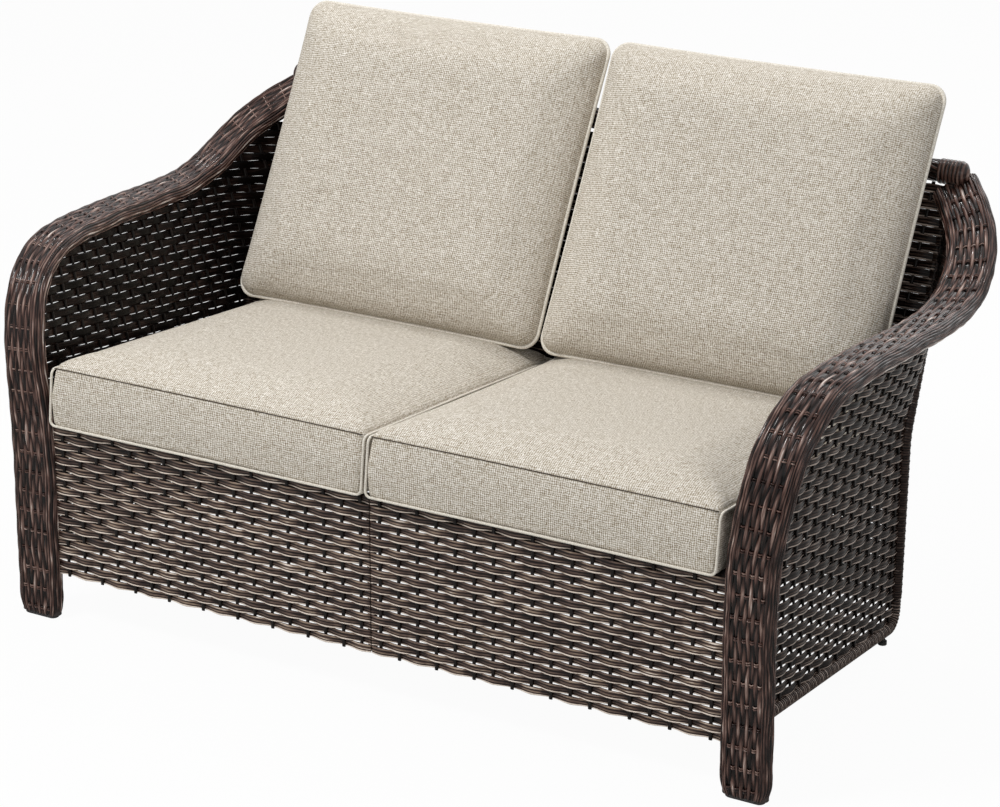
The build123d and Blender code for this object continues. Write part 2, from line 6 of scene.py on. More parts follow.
import bmesh
import bpy
import numpy as np
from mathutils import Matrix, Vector


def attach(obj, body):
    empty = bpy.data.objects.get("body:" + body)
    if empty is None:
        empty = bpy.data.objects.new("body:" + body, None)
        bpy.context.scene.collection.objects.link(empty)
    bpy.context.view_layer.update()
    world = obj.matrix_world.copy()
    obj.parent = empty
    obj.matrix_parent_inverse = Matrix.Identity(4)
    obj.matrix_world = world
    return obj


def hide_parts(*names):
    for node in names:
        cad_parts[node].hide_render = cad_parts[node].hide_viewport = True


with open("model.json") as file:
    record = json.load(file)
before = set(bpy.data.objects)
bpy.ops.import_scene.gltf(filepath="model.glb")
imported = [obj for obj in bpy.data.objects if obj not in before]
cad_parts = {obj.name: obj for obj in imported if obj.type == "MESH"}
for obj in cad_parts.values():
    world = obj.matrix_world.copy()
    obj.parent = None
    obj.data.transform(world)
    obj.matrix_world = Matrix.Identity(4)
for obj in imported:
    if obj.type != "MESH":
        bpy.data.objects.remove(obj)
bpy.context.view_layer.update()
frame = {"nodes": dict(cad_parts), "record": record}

# Studio: the camera stands front right and above, where the photograph was taken from,
# over a near-white painted floor. Four soft lamps and a pale room light the loveseat
# plainly, and three small lamps give the strands their glints.
scene = bpy.context.scene
scene.view_settings.view_transform = "Standard"
view_azimuth = radians(29.1)
view_elevation = radians(21.5)
view_distance = 4.4364
view_target = Vector((0.0, -0.1036, 0.4))
sensor_mm = 36.0
lens_mm = 104.6412
lens_shift = (0.0335, -0.0146)
floor_half = 15.0
floor_color = "#DCDCDA"
floor_paleness = 0.96
room_shade_strength = 0.31
white = (1.0, 1.0, 1.0, 1.0)
lamps = [
    ("key_softbox", (-1.6, -2.4, 4.2), 1.0, 123.0),
    ("fill_softbox", (3.2, -2.4, 2.4), 1.0, 14.0),
    ("top_softbox", (0.2, 0.6, 3.6), 2.2, 20.0),
    ("rear_softbox", (0.8, 3.4, 2.6), 2.0, 30.0),
    ("front_spark", (-1.5, -1.7, 3.6), 0.2, 15.0),
    ("top_spark", (-0.6, 1.4, 3.4), 0.2, 12.0),
    ("side_spark", (2.8, 1.6, 2.4), 0.2, 12.0),
]


def linear_color(text):
    """An sRGB hex colour as linear red, green and blue with a full alpha."""
    shares = np.array([int(text[i : i + 2], 16) for i in (1, 3, 5)]) / 255
    curve = np.where(shares <= 0.04045, shares / 12.92, ((shares + 0.055) / 1.055) ** 2.4)
    return (*curve.tolist(), 1.0)


def add_node(tree, kind, inputs=(), stops=(), **settings):
    """Adds one shader node with its settings. Inputs go by name, or in order. One given
    as a node is linked from that node's first output, one given as a socket is linked
    and any other is set. Stops are a colour ramp's places and hex colours."""
    node = tree.nodes.new("ShaderNode" + kind)
    for name, value in settings.items():
        setattr(node, name, value)
    named = isinstance(inputs, dict)
    for name, value in inputs.items() if named else enumerate(inputs):
        if isinstance(value, bpy.types.Node):
            value = value.outputs[0]
        if isinstance(value, bpy.types.NodeSocket):
            tree.links.new(value, node.inputs[name])
        else:
            node.inputs[name].default_value = value
    for i, (place, color) in enumerate(stops):
        elements = node.color_ramp.elements
        element = elements[i] if i < len(elements) else elements.new(place)
        element.position = place
        element.color = linear_color(color)
    return node


def new_material(name, base_color="#808080", **values):
    """A material and its node tree, with only the main shader, whose named inputs are
    set."""
    material = bpy.data.materials.new(name)
    material.use_nodes = True
    shader = material.node_tree.nodes["Principled BSDF"]
    shader.inputs["Base Color"].default_value = linear_color(base_color)
    for key, value in values.items():
        shader.inputs[key.replace("_", " ")].default_value = value
    return material, material.node_tree


def new_object(name, data):
    """A new object in the scene."""
    placed = bpy.data.objects.new(name, data)
    scene.collection.objects.link(placed)
    return placed


camera_data = bpy.data.cameras.new("photo_camera")
camera = new_object("photo_camera", camera_data)
away = Vector((
    sin(view_azimuth) * cos(view_elevation),
    -cos(view_azimuth) * cos(view_elevation),
    sin(view_elevation),
))
camera.location = view_target + away * view_distance
camera.rotation_euler = (-away).to_track_quat("-Z", "Y").to_euler()
camera_data.sensor_fit = "HORIZONTAL"
camera_data.sensor_width = sensor_mm
camera_data.lens = lens_mm
camera_data.shift_x, camera_data.shift_y = lens_shift
scene.camera = camera

for name, place, size, power in lamps:
    lamp_data = bpy.data.lights.new(name, "AREA")
    lamp_data.size = size
    lamp_data.energy = power
    lamp = new_object(name, lamp_data)
    lamp.location = place
    lamp.rotation_euler = (view_target - lamp.location).to_track_quat("-Z", "Y").to_euler()

room = bpy.data.worlds.new("pale_room")
scene.world = room
room.use_nodes = True
tree = room.node_tree
tree.nodes.clear()
ray = add_node(tree, "LightPath").outputs
seen = (ray["Is Camera Ray"], ray["Is Glossy Ray"])
seen = add_node(tree, "Math", seen, operation="MAXIMUM")
seen = add_node(tree, "Math", (seen, ray["Is Transmission Ray"]), operation="MAXIMUM")
strength = {"Value": seen, "To Min": room_shade_strength, "To Max": 1.0}
strength = add_node(tree, "MapRange", strength)
room_light = add_node(tree, "Background", {"Color": white, "Strength": strength})
add_node(tree, "OutputWorld", {"Surface": room_light})

floor_paint, tree = new_material(
    "matt_white_floor_paint", floor_color, Roughness=0.9, Specular_IOR_Level=0.1
)
ray = add_node(tree, "LightPath").outputs
share = add_node(tree, "Math", (ray["Is Camera Ray"], floor_paleness), operation="MULTIPLY")
floor_white = add_node(tree, "Emission", {"Color": white, "Strength": 1.0})
floor_mix = (share, tree.nodes["Principled BSDF"], floor_white)
floor_mix = add_node(tree, "MixShader", floor_mix)
tree.links.new(floor_mix.outputs[0], tree.nodes["Material Output"].inputs["Surface"])
floor_mesh = bpy.data.meshes.new("studio_floor")
floor_corners = np.array([(-1, -1, 0), (1, -1, 0), (1, 1, 0), (-1, 1, 0)]) * floor_half
floor_mesh.from_pydata(floor_corners.tolist(), [], [(0, 1, 2, 3)])
floor_mesh.materials.append(floor_paint)
new_object("studio_floor", floor_mesh)

# Frame tubes: round and flat mild steel, bent and welded, then sprayed with dark brown
# polyester powder that is baked on. It shows a soft gloss over a fine orange peel.
coat_peel_mm = 1.2
coat_patch_scale = 9.0
coat_stops = [(0.35, "#1D1614"), (0.7, "#2E2420")]


def color_and_relief(material, shade, stops, relief, strength, distance):
    """Colours a material by a ramp over its shade and bumps it by its relief, which
    stands as high as the distance in metres."""
    tree = material.node_tree
    shader = tree.nodes["Principled BSDF"]
    ramp = add_node(tree, "ValToRGB", {"Fac": shade}, stops=stops)
    bump = {"Strength": strength, "Distance": distance, "Height": relief}
    bump = add_node(tree, "Bump", bump)
    tree.links.new(ramp.outputs["Color"], shader.inputs["Base Color"])
    tree.links.new(bump.outputs["Normal"], shader.inputs["Normal"])


def finish_nodes(slot_name, material):
    """Gives every CAD node of one finish its material."""
    for row in frame["record"]["subparts"]:
        if row["material_slot"] == slot_name:
            for place in frame["nodes"][row["node"]].material_slots:
                place.material = material


powder_coat, tree = new_material("brown_polyester_powder_coat", Roughness=0.42)
spot = add_node(tree, "TexCoord").outputs["Object"]
peel = add_node(tree, "TexNoise", {"Vector": spot, "Scale": 1000 / coat_peel_mm, "Detail": 2.0})
patches = add_node(tree, "TexNoise", {"Vector": spot, "Scale": coat_patch_scale, "Detail": 3.0})
color_and_relief(powder_coat, patches, coat_stops, peel, 0.25, 0.0002)
finish_nodes("frame_metal", powder_coat)

# Feet, glides and end caps: injection-moulded black polypropylene, pressed into or onto
# the tube ends. The face is spark-eroded, so it is dull with a fine grain, and the
# lower edges are scuffed grey.
grain_mm = 0.8
scuff_height = 0.004
moulded_stops = [(0.0, "#161414"), (1.0, "#4A4744")]

moulded, tree = new_material("black_moulded_polypropylene", Roughness=0.55)
spot = add_node(tree, "TexCoord").outputs["Object"]
grain = add_node(tree, "TexNoise", {"Vector": spot, "Scale": 1000 / grain_mm, "Detail": 2.0})
height = add_node(tree, "SeparateXYZ", {"Vector": spot}).outputs["Z"]
near_floor = {"Value": height, "From Min": scuff_height, "From Max": 0.0}
near_floor = add_node(tree, "MapRange", near_floor)
scuffs = add_node(tree, "Math", (near_floor, grain), operation="MULTIPLY")
color_and_relief(moulded, scuffs, moulded_stops, grain, 0.3, 0.0002)
finish_nodes("plastic_foot", moulded)

# Bolts and washers of the seat frame: turned steel with a thin bright zinc plating,
# screwed into the legs and posts. The plating shows faint tool rings and dull patches.
ring_mm = 0.35
patch_scale = 260.0
zinc_stops = [(0.3, "#9FA1A3"), (0.7, "#C9CACA")]

zinc, tree = new_material("zinc_plated_steel", "#B9BBBC", Metallic=1.0, Roughness=0.32)
spot = add_node(tree, "TexCoord").outputs["Object"]
patches = add_node(tree, "TexNoise", {"Vector": spot, "Scale": patch_scale, "Detail": 3.0})
rings = add_node(tree, "TexNoise", {"Vector": spot, "Scale": 1000 / ring_mm, "Detail": 1.0})
color_and_relief(zinc, patches, zinc_stops, rings, 0.15, 0.0001)
finish_nodes("steel_fastener", zinc)

# Arm bands: ribbons of extruded polyethylene run the length of each leg and arm round its
# two tubes, eight on each face and a bundle of round strands on each edge, bound across
# every 33 mm by pairs of thin strands that each ribbon passes over and under in turn.
sides = {"left": np.array([-1.0, 1.0, 1.0]), "right": np.array([1.0, 1.0, 1.0])}
leg_spread = 0.606
arm_flare = 0.065
arm_turn = 26.0
leg_y = -0.3946
foot_x = 0.608925
top_rail_y = 0.3854
back_height = 0.7
foot_height = 0.005
route_shares = [
    (0.045, 0.0, 0.0, 0.0), (0.02, 0.0, 0.22, 0.0), (0.0, 0.0, 0.43, 0.0),
    (0.05, 0.0, 0.529, 0.18), (0.13, 0.004, 0.6, 0.3), (0.24, 0.015, 0.672, 0.42),
    (0.35, 0.039, 0.741, 0.53), (0.47, 0.079, 0.79, 0.6), (0.57, 0.135, 0.822, 0.65),
    (0.67, 0.22, 0.832, 0.72), (0.76, 0.32, 0.829, 0.84), (0.87, 0.44, 0.82, 1.0),
    (0.96, 0.57, 0.809, 1.05), (1.0, 0.69, 0.808, 0.95), (0.985, 0.765, 0.824, 0.8),
    (0.89, 0.828, 0.856, 0.72), (0.68, 0.884, 0.893, 0.6), (0.37, 0.93, 0.924, 0.5),
    (0.0, 0.97, 0.952, 0.5), (-0.3, 1.0, 0.97, 0.6),
]
route_steps = 35
band_stations = 400
band_half_width = 0.039
band_half_thickness = 0.014
face_ribbons = 8
edge_strands = 10
strand_points = np.array([0.0, 0.16, 0.5, 0.84])
strand_domes = np.array([0.0, 0.8, 1.0, 0.8])
strand_offsets = np.array([0.0, -0.34, 0.0, 0.34])
strand_rise = 0.0024
float_swing = 0.0012
float_pinch = 0.3
strand_wave = 0.0004
edge_drift = 0.0015
edge_drift_length = 0.13
face_drift = 0.0011
face_drift_length = 0.094
taper_length = 0.026
taper_share = 0.17
binding_pitch = 0.033
binding_start = 0.4
binding_gap = 0.0032
binding_radius = 0.0012
binding_flatness = 0.8
binding_lift = 0.0012
binding_dip = -0.6
binding_share = 0.999
resin_stops = [
    (0.0, "#080504"), (0.3, "#2C1B17"), (0.6, "#654B43"), (0.85, "#9F887E"),
    (1.0, "#E6DAD2"),
]
rng = np.random.default_rng(7)


def way_along(line):
    """The distance along a line at each of its points: the sum of the steps so far."""
    return np.concatenate([[0.0], np.cumsum(np.linalg.norm(np.diff(line, axis=0), axis=1))])


def smooth_through(points, count):
    """Rows along a smooth curve through the points: each span is a cubic whose end
    slopes are those of the chords to its neighbours, evenly spaced by chord length."""
    at = way_along(points[:, :3])
    slopes = np.gradient(points, at, axis=0)
    along = np.linspace(0.0, at[-1], count)
    span = np.clip(np.searchsorted(at, along, side="right") - 1, 0, len(at) - 2)
    length = np.diff(at)[span][:, None]
    u = (along - at[span])[:, None] / length
    start, end = points[span], points[span + 1]
    rise, fall = slopes[span] * length, slopes[span + 1] * length
    bend = u * u * (3 - 2 * u)
    curve = start + (end - start) * bend + rise * u * (1 - u) ** 2 - fall * u * u * (1 - u)
    return curve, along


def unit(vectors):
    """Vectors over their own lengths."""
    return vectors / np.linalg.norm(vectors, axis=-1, keepdims=True)


def level_across(forward):
    """Level directions square to the forward ones: the x axis less its part along each."""
    return unit(np.array([1.0, 0.0, 0.0]) - forward * forward[:, :1])


def turned_upright(vectors, angle):
    """Vectors turned about the upright by an angle each: x and y go round a circle and
    z stays."""
    x, y, z = vectors.T
    cosine, sine = np.cos(angle), np.sin(angle)
    return np.stack([x * cosine - y * sine, x * sine + y * cosine, z], -1)


def grid(*parts):
    """Arrays spread over one grid and stacked as the coordinates of its points."""
    return np.stack(np.broadcast_arrays(*parts), -1)


def carried(path, across, x, normal, y):
    """A profile carried along a path: each point is the path's own point plus x times
    the direction across it plus y times its normal."""
    step = across[..., None, :] * x[..., None]
    return path[..., None, :] + step + normal[..., None, :] * y[..., None]


def circle_angles(count):
    """Angles evenly round a circle."""
    return np.arange(count) * tau / count


def strand_material(name, stops, roughness, specular=0.2):
    """Extruded polyethylene strand: the die leaves it glossy, with lines along it. Each strand's
    shade comes from the tone attribute, along with the painted shade and highlights that many
    pieces carry. The lines come from noise drawn out along its UV, 2.3 mm by 28 mm, which is
    coarser than real so that they show."""
    material, tree = new_material(name, Roughness=roughness, Specular_IOR_Level=specular)
    tone = add_node(tree, "Attribute", attribute_name="tone").outputs["Fac"]
    lie = add_node(tree, "UVMap", uv_map="strand")
    drawn = add_node(tree, "Mapping", {"Vector": lie, "Scale": (36.0, 430.0, 1.0)})
    lines = add_node(tree, "TexNoise", {"Vector": drawn, "Scale": 1.0, "Detail": 2.0})
    shade = add_node(tree, "Math", (lines, 1.2, -0.6), operation="MULTIPLY_ADD")
    total = add_node(tree, "Math", (tone, shade), operation="ADD")
    color_and_relief(material, total, stops, lines, 0.6, 0.0007)
    return material


def ring_faces(index, loop=False):
    """Faces of strands x stations x ring points: each ring is joined to the next one,
    its last point to its first, and the two ends of a strand are capped, or joined to
    each other for a loop."""
    here = index if loop else index[:, :-1]
    there = np.roll(index, -1, axis=1) if loop else index[:, 1:]
    quads = np.stack([here, np.roll(here, -1, 2), np.roll(there, -1, 2), there], -1)
    caps = [] if loop else index[:, 0, ::-1].tolist() + index[:, -1].tolist()
    return quads.reshape(-1, 4).tolist() + caps


def strand_piece(
    name, rings, uv, tone, material, nodes=(), body="frame", loop=False
):
    """One mesh of many strands, or of one, with its UV map and its tone attribute."""
    rings = rings.reshape(-1, *rings.shape[-3:])
    shape = rings.shape[:3]
    index = np.arange(prod(shape)).reshape(shape)
    mesh = bpy.data.meshes.new(name)
    mesh.from_pydata(rings.reshape(-1, 3).tolist(), [], ring_faces(index, loop))
    shell = bmesh.new()
    shell.from_mesh(mesh)
    bmesh.ops.recalc_face_normals(shell, faces=shell.faces)
    shell.to_mesh(mesh)
    shell.free()
    corner_vertex = np.zeros(len(mesh.loops), np.int32)
    mesh.loops.foreach_get("vertex_index", corner_vertex)
    flat_uv = np.broadcast_to(uv, (*shape, 2)).reshape(-1, 2)
    layer = mesh.uv_layers.new(name="strand")
    layer.data.foreach_set("uv", flat_uv[corner_vertex].astype(np.float32).ravel())
    flat_tone = np.broadcast_to(tone, shape).reshape(-1)
    attribute = mesh.attributes.new("tone", "FLOAT", "POINT")
    attribute.data.foreach_set("value", flat_tone.astype(np.float32))
    mesh.shade_smooth()
    mesh.materials.append(material)
    piece = new_object(name, mesh)
    if nodes:
        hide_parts(*nodes)
    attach(piece, body)


route = np.array(route_shares) * (arm_flare, top_rail_y - leg_y, back_height, arm_turn)
route = route + (leg_spread, leg_y, 0.0, 0.0)
route[0] = (foot_x, leg_y, foot_height, 0.0)
band_rows, band_along = smooth_through(route, band_stations)
band_center = band_rows[:, :3]
reach = round((band_stations - 1) / route_steps)
station = np.arange(band_stations)
before = band_center[np.maximum(station - reach, 0)]
after = band_center[np.minimum(station + reach, band_stations - 1)]
forward = unit(after - before)
level = level_across(forward)
turn = np.radians(band_rows[:, 3])
band_across = turned_upright(level, turn)
band_normal = turned_upright(np.cross(forward, level), turn)

band_face = 2 * (band_half_width - band_half_thickness)
band_edge = pi * band_half_thickness
ring_share = np.concatenate([
    side + ((np.arange(count)[:, None] + strand_points) / count).ravel()
    for side, count in enumerate((face_ribbons, edge_strands) * 2)
])
strand_count = 2 * (face_ribbons + edge_strands)
ring_strand = np.repeat(np.arange(strand_count), len(strand_points))


def band_section(share, rise):
    """Places on the band's section: share 0 to 1 runs over the outer face, 1 to 2 round
    one edge, 2 to 3 back over the other face and 3 to 4 round the other edge, each a
    rise above the sleeve. Gives the distance across and along the normal."""
    side = np.floor(share) % 4
    part = share - np.floor(share)
    half = band_face / 2
    radius = band_half_thickness + rise
    sine, cosine = np.sin(pi * part), np.cos(pi * part)
    cases = [side == 0, side == 1, side == 2]
    over = [half - band_face * part, -half - radius * sine, band_face * part - half]
    across = np.select(cases, over, half + radius * sine)
    normal = np.select(cases, [radius, radius * cosine, -radius], -radius * cosine)
    return across, normal


# The strands sway and swing along the band. A ribbon rises and widens between two
# bindings, then dips and narrows under the next.
way = band_along[:, None]
on_edge = np.floor(ring_share) % 2 == 1
part = ring_share % 1
dome = np.tile(strand_domes, strand_count)
from_middle = np.tile(strand_offsets, strand_count)
edge_sway = edge_drift / band_edge * np.sin(tau * way / edge_drift_length)
face_sway = face_drift / band_face * np.sin(tau * way / face_drift_length)
ribbon_turn = pi * (way / binding_pitch - binding_start + np.floor(part * face_ribbons))
swing = np.where(on_edge, 0.0, -np.cos(ribbon_turn))
strand_phase = rng.uniform(0, tau, strand_count)[ring_strand]
strand_length = rng.uniform(0.03, 0.08, strand_count)[ring_strand]
wave = strand_wave * np.sin(tau * way / strand_length + strand_phase)
narrowed = -float_pinch * from_middle * np.clip(-swing, 0, 1) ** 2 / face_ribbons
sway = np.where(on_edge, edge_sway, face_sway) * np.sin(pi * part)
rise = strand_rise * (dome - 1) + float_swing * (swing - 1) + wave
rise = rise + np.where(on_edge, float_swing, 0.0)
across, normal = band_section(ring_share + sway + narrowed, rise)
taper = 1 - taper_share * np.clip(1 - way / taper_length, 0, 1) ** 2
ring_points = carried(band_center, band_across, across * taper, band_normal, normal * taper)
ring_points[..., 2] = np.maximum(ring_points[..., 2], foot_height)
ring_way = np.floor(ring_share) / 2 * (band_face + band_edge)
ring_way = ring_way + part * np.where(on_edge, band_edge, band_face)
strand_shade = rng.beta(1.2, 1.8, strand_count)
# Tone differs at random by strand. The dome term is painted shade between strands, and the swing
# term paints light on risen floats and shade under the bindings.
band_tone_and_painted_light = (
    0.2
    + np.where(on_edge, 0.85, 0.5) * strand_shade[ring_strand]
    + 0.12 * np.sin(tau * way / strand_length * 0.7 + strand_phase)
    + 0.5 * (dome - 1)
    + 0.2 * swing
)

arm_resin = strand_material("extruded_polyethylene_arm_strand", resin_stops, 0.15, 0.24)
pair_at = (np.arange(int(band_along[-1] / binding_pitch)) + binding_start) * binding_pitch
binding_turns = np.linspace(0, 1, face_ribbons * 4 + 1)
binding_number = np.floor(binding_turns * face_ribbons)
binding_bow = 2 * binding_lift * np.abs(np.sin(pi * binding_turns * face_ribbons))
binding_x = np.cos(circle_angles(5)) * binding_radius
binding_y = np.sin(circle_angles(5)) * binding_radius * binding_flatness

for side, mirror in sides.items():
    name, replaced = "arm_band_strands_" + side, ["arm_band_" + side]
    strand_piece(name, ring_points * mirror, grid(way, ring_way), band_tone_and_painted_light, arm_resin, replaced)
    binding_rings = []
    binding_tones = []
    for pair, at in enumerate(pair_at):
        for shift in (-0.5, 0.5):
            place = np.interp(at + shift * binding_gap, band_along, station)
            low = int(place)
            rest = place - low
            center, axis_across, axis_normal, axis_along = (
                values[low] * (1 - rest) + values[min(low + 1, band_stations - 1)] * rest
                for values in (band_center, band_across, band_normal, forward)
            )
            over_ribbon = np.where((binding_number + pair) % 2 == 0, 1.0, binding_dip)
            lift = -2 * float_swing + binding_bow * over_ribbon
            for face, outer in ((0, axis_normal), (2, -axis_normal)):
                across, normal = band_section(face + binding_turns * binding_share, lift)
                line = carried(center, axis_across, across, axis_normal, normal)
                binding_rings.append(carried(line, axis_along, binding_x, outer, binding_y))
                binding_tones.append(rng.uniform(0.15, 0.8))
    strand_piece(
        "arm_band_bindings_" + side,
        np.array(binding_rings) * mirror,
        grid(binding_turns[:, None] * band_face, np.arange(5) * 0.001),
        np.array(binding_tones)[:, None, None],
        arm_resin,
    )

# Feet: a plate of the black polypropylene under each leg, its edge rounded and set in
# from the strands, whose ends are tucked in round it.
foot_inset = 0.0022
plate_levels = [(0.0, 0.0016), (0.0008, 0.0004), (0.0022, 0.0), (foot_height, 0.0)]
plate_share = np.arange(96) / 24
plate_size = 1 - taper_share
plate_rings = []
for height, inset in plate_levels:
    across, normal = band_section(plate_share, -foot_inset - inset)
    plate_rings.append(grid(foot_x + across * plate_size, leg_y + normal * plate_size, height))
for side, mirror in sides.items():
    plate, replaced = np.array(plate_rings) * mirror, ["front_foot_" + side]
    strand_piece("foot_plate_" + side, plate, np.zeros(2), 0.0, moulded, replaced)

# Bottom rails and rear posts: one polyethylene strand is wound round the tube of each
# bottom rail from the leg to above the rear corner, its turns side by side. Above it the
# ribbons of the side panel go round the post, each with three ribs.
rail_x = 0.5975
rail_front_z = 0.101
rail_rear_z = 0.014
rail_start = (rail_x, leg_y + 0.006, rail_front_z - 0.0009)
post_y = 0.1974
rail_bend = 0.025
wrap_top_z = 0.061
wrap_radius = 0.0098
wrap_pitch = 0.0055
wrap_rise = 0.0019
turn_samples = 6
side_row_pitch = 0.013
kink_z = 0.335
lean_in = 0.012
post_bend = 0.09
post_spacing = 0.0013
post_inset = 0.0012
post_rib_rise = 0.0013
post_step_rise = 0.001
panel_stops = [(0.0, "#0A0706"), (0.35, "#241916"), (0.65, "#483932"), (1.0, "#B5A69C")]
around = np.arange(24) / 24


def rounded(points, bends, steps):
    """A line of straight runs through points, joined at each inner one by an arc of its
    bend, which starts before the corner by the bend times the tangent of half the turn."""
    points = np.asarray(points, float)
    line = [points[0]]
    for i, bend in enumerate(bends, 1):
        into, out = unit(points[i] - points[i - 1]), unit(points[i + 1] - points[i])
        corner_turn = acos(float(np.clip(into @ out, -1, 1)))
        toward = unit(out - into * (into @ out))
        angle = np.linspace(0, corner_turn, steps)[:, None]
        start = points[i] - into * bend * tan(corner_turn / 2)
        line += list(start + bend * (into * np.sin(angle) + toward * (1 - np.cos(angle))))
    return np.array(line + [points[-1]])


def evenly(line, spacing=None, steps=None):
    """A line in even steps, so many or of about the spacing. Gives its points and the
    distance along it at each."""
    at = way_along(line)
    even = np.linspace(0, at[-1], (steps or round(at[-1] / spacing)) + 1)
    return np.stack([np.interp(even, at, values) for values in line.T], -1), even


def round_top(share):
    """The height of a half circle over its span, from 0 at both ends to 1 half way."""
    return np.sqrt(np.clip(1 - (2 * share - 1) ** 2, 0, 1))


def tube_skin(line, radius):
    """Rings round a tube's line, each point a radius out at its place on the circle."""
    ahead = unit(np.gradient(line, axis=0))
    beside = level_across(ahead)
    angle = tau * around
    up = np.cross(beside, ahead)
    return carried(line, beside, radius * np.cos(angle), up, radius * np.sin(angle))


rail_corners = [rail_start, (rail_x, post_y, rail_rear_z), (rail_x, post_y, wrap_top_z)]
rail_line, rail_along = evenly(rounded(rail_corners, [rail_bend], 12), wrap_pitch / turn_samples)
winding = rail_along[:, None] / wrap_pitch - around
wound_dome = round_top(winding % 1)
wound = tube_skin(rail_line, wrap_radius - wrap_rise + wrap_rise * wound_dome)
# Painted light on the winding: each turn is lighter on its crown and darker in the grooves
# between turns, and the turns also differ a little in tone.
wound_tone_and_painted_light = -0.15 + 0.95 * wound_dome**2 + 0.1 * np.sin(np.floor(winding) * 2.4)

post_corners = [
    (rail_x, post_y, wrap_top_z),
    (rail_x, post_y, kink_z),
    (rail_x - lean_in, top_rail_y, back_height),
]
post_line, post_along = evenly(rounded(post_corners, [post_bend], 12), post_spacing)
post_dome = round_top((post_along[:, None] * 3 / side_row_pitch - around) % 1)
post_step = (post_along[:, None] / side_row_pitch - around / 3) % 1
post_radius = wrap_radius - post_inset + post_rib_rise * post_dome
post_radius = post_radius + post_step_rise * np.sin(pi * post_step)
post_turns = tube_skin(post_line, post_radius)
# Painted light on the post ribbons: lighter on each rib and darker between the ribs.
post_painted_light = -0.05 + 0.6 * post_dome**2
way_round = around * tau * wrap_radius
wound_uv = grid(way_round, rail_along[:, None])
post_uv = grid(way_round, post_along[:, None])
panel_resin = strand_material("extruded_polyethylene_panel_strand", panel_stops, 0.26, 0.1)
for side, mirror in sides.items():
    name, replaced = "rail_winding_" + side, ["rail_wrap_" + side]
    strand_piece(name, wound * mirror, wound_uv, wound_tone_and_painted_light, panel_resin, replaced)
    strand_piece("post_ribbon_" + side, post_turns * mirror, post_uv, post_painted_light, panel_resin)

# Side panels: ribbons of ribbed polyethylene strand woven through round dark stakes,
# a row sloping back as the bottom rail does. Each row starts inside the arm band and
# goes round the rear post, and the panel leans outward above its knee to meet the arm.
ribbon_swell = 0.0007
ribbon_slack = 0.0001
ribbon_depth = 0.0024
ribbon_half = 0.001
ribbon_profile = np.array([
    (-0.5, -0.2), (-0.44, 0.75), (-0.33, 0.95), (-0.22, -0.1), (-0.1, 0.95), (0.05, 0.95),
    (0.16, -0.1), (0.27, 0.95), (0.42, 0.8), (0.5, -0.2), (0.3, -0.7), (-0.3, -0.7),
])
# Painted light across a ribbon: a painted reflection line on the lower rib and painted shade in
# the grooves.
ribbon_painted_light = np.array([0.3, 0.95, 0.6, -0.7, 0.2, 0.0, -0.7, 0.1, 0.25, -0.5, -0.1, -0.1])
row_shift = 0.37
stake_half_width = 0.003
stake_half_depth = 0.0017
stake_tone = 0.12
stake_angles = circle_angles(6)
stake_stops = [(0.0, "#0E0B0A"), (0.5, "#241B18"), (1.0, "#4A3C36")]
side_stake_pitch = 0.036
stake_pitch = 0.0315
side_pinch = -0.0007
stake_margin = 0.03
shortest_stake = 0.02
side_rows = 48
first_row = 0.45
arm_gap = 0.002
front_gap = 0.008
rear_gap = 0.012
knee_share = 0.62
panel_reach = 0.004
fewest_points = 20
arm_start = 0.0012
dark_resin = strand_material("extruded_polyethylene_stake", stake_stops, 0.42)


def sheet_frame(place, u, v):
    """The surface's point at u and v, its direction as u grows, the one square to that
    as v grows, and the normal, from steps of a millimetre."""
    step = 0.001
    spot = place(u, v)
    along = unit(place(u + step, v) - place(u - step, v))
    rising = place(u, v + step) - place(u, v - step)
    rising = unit(rising - along * np.sum(rising * along, -1, keepdims=True))
    return spot, along, rising, np.cross(along, rising)


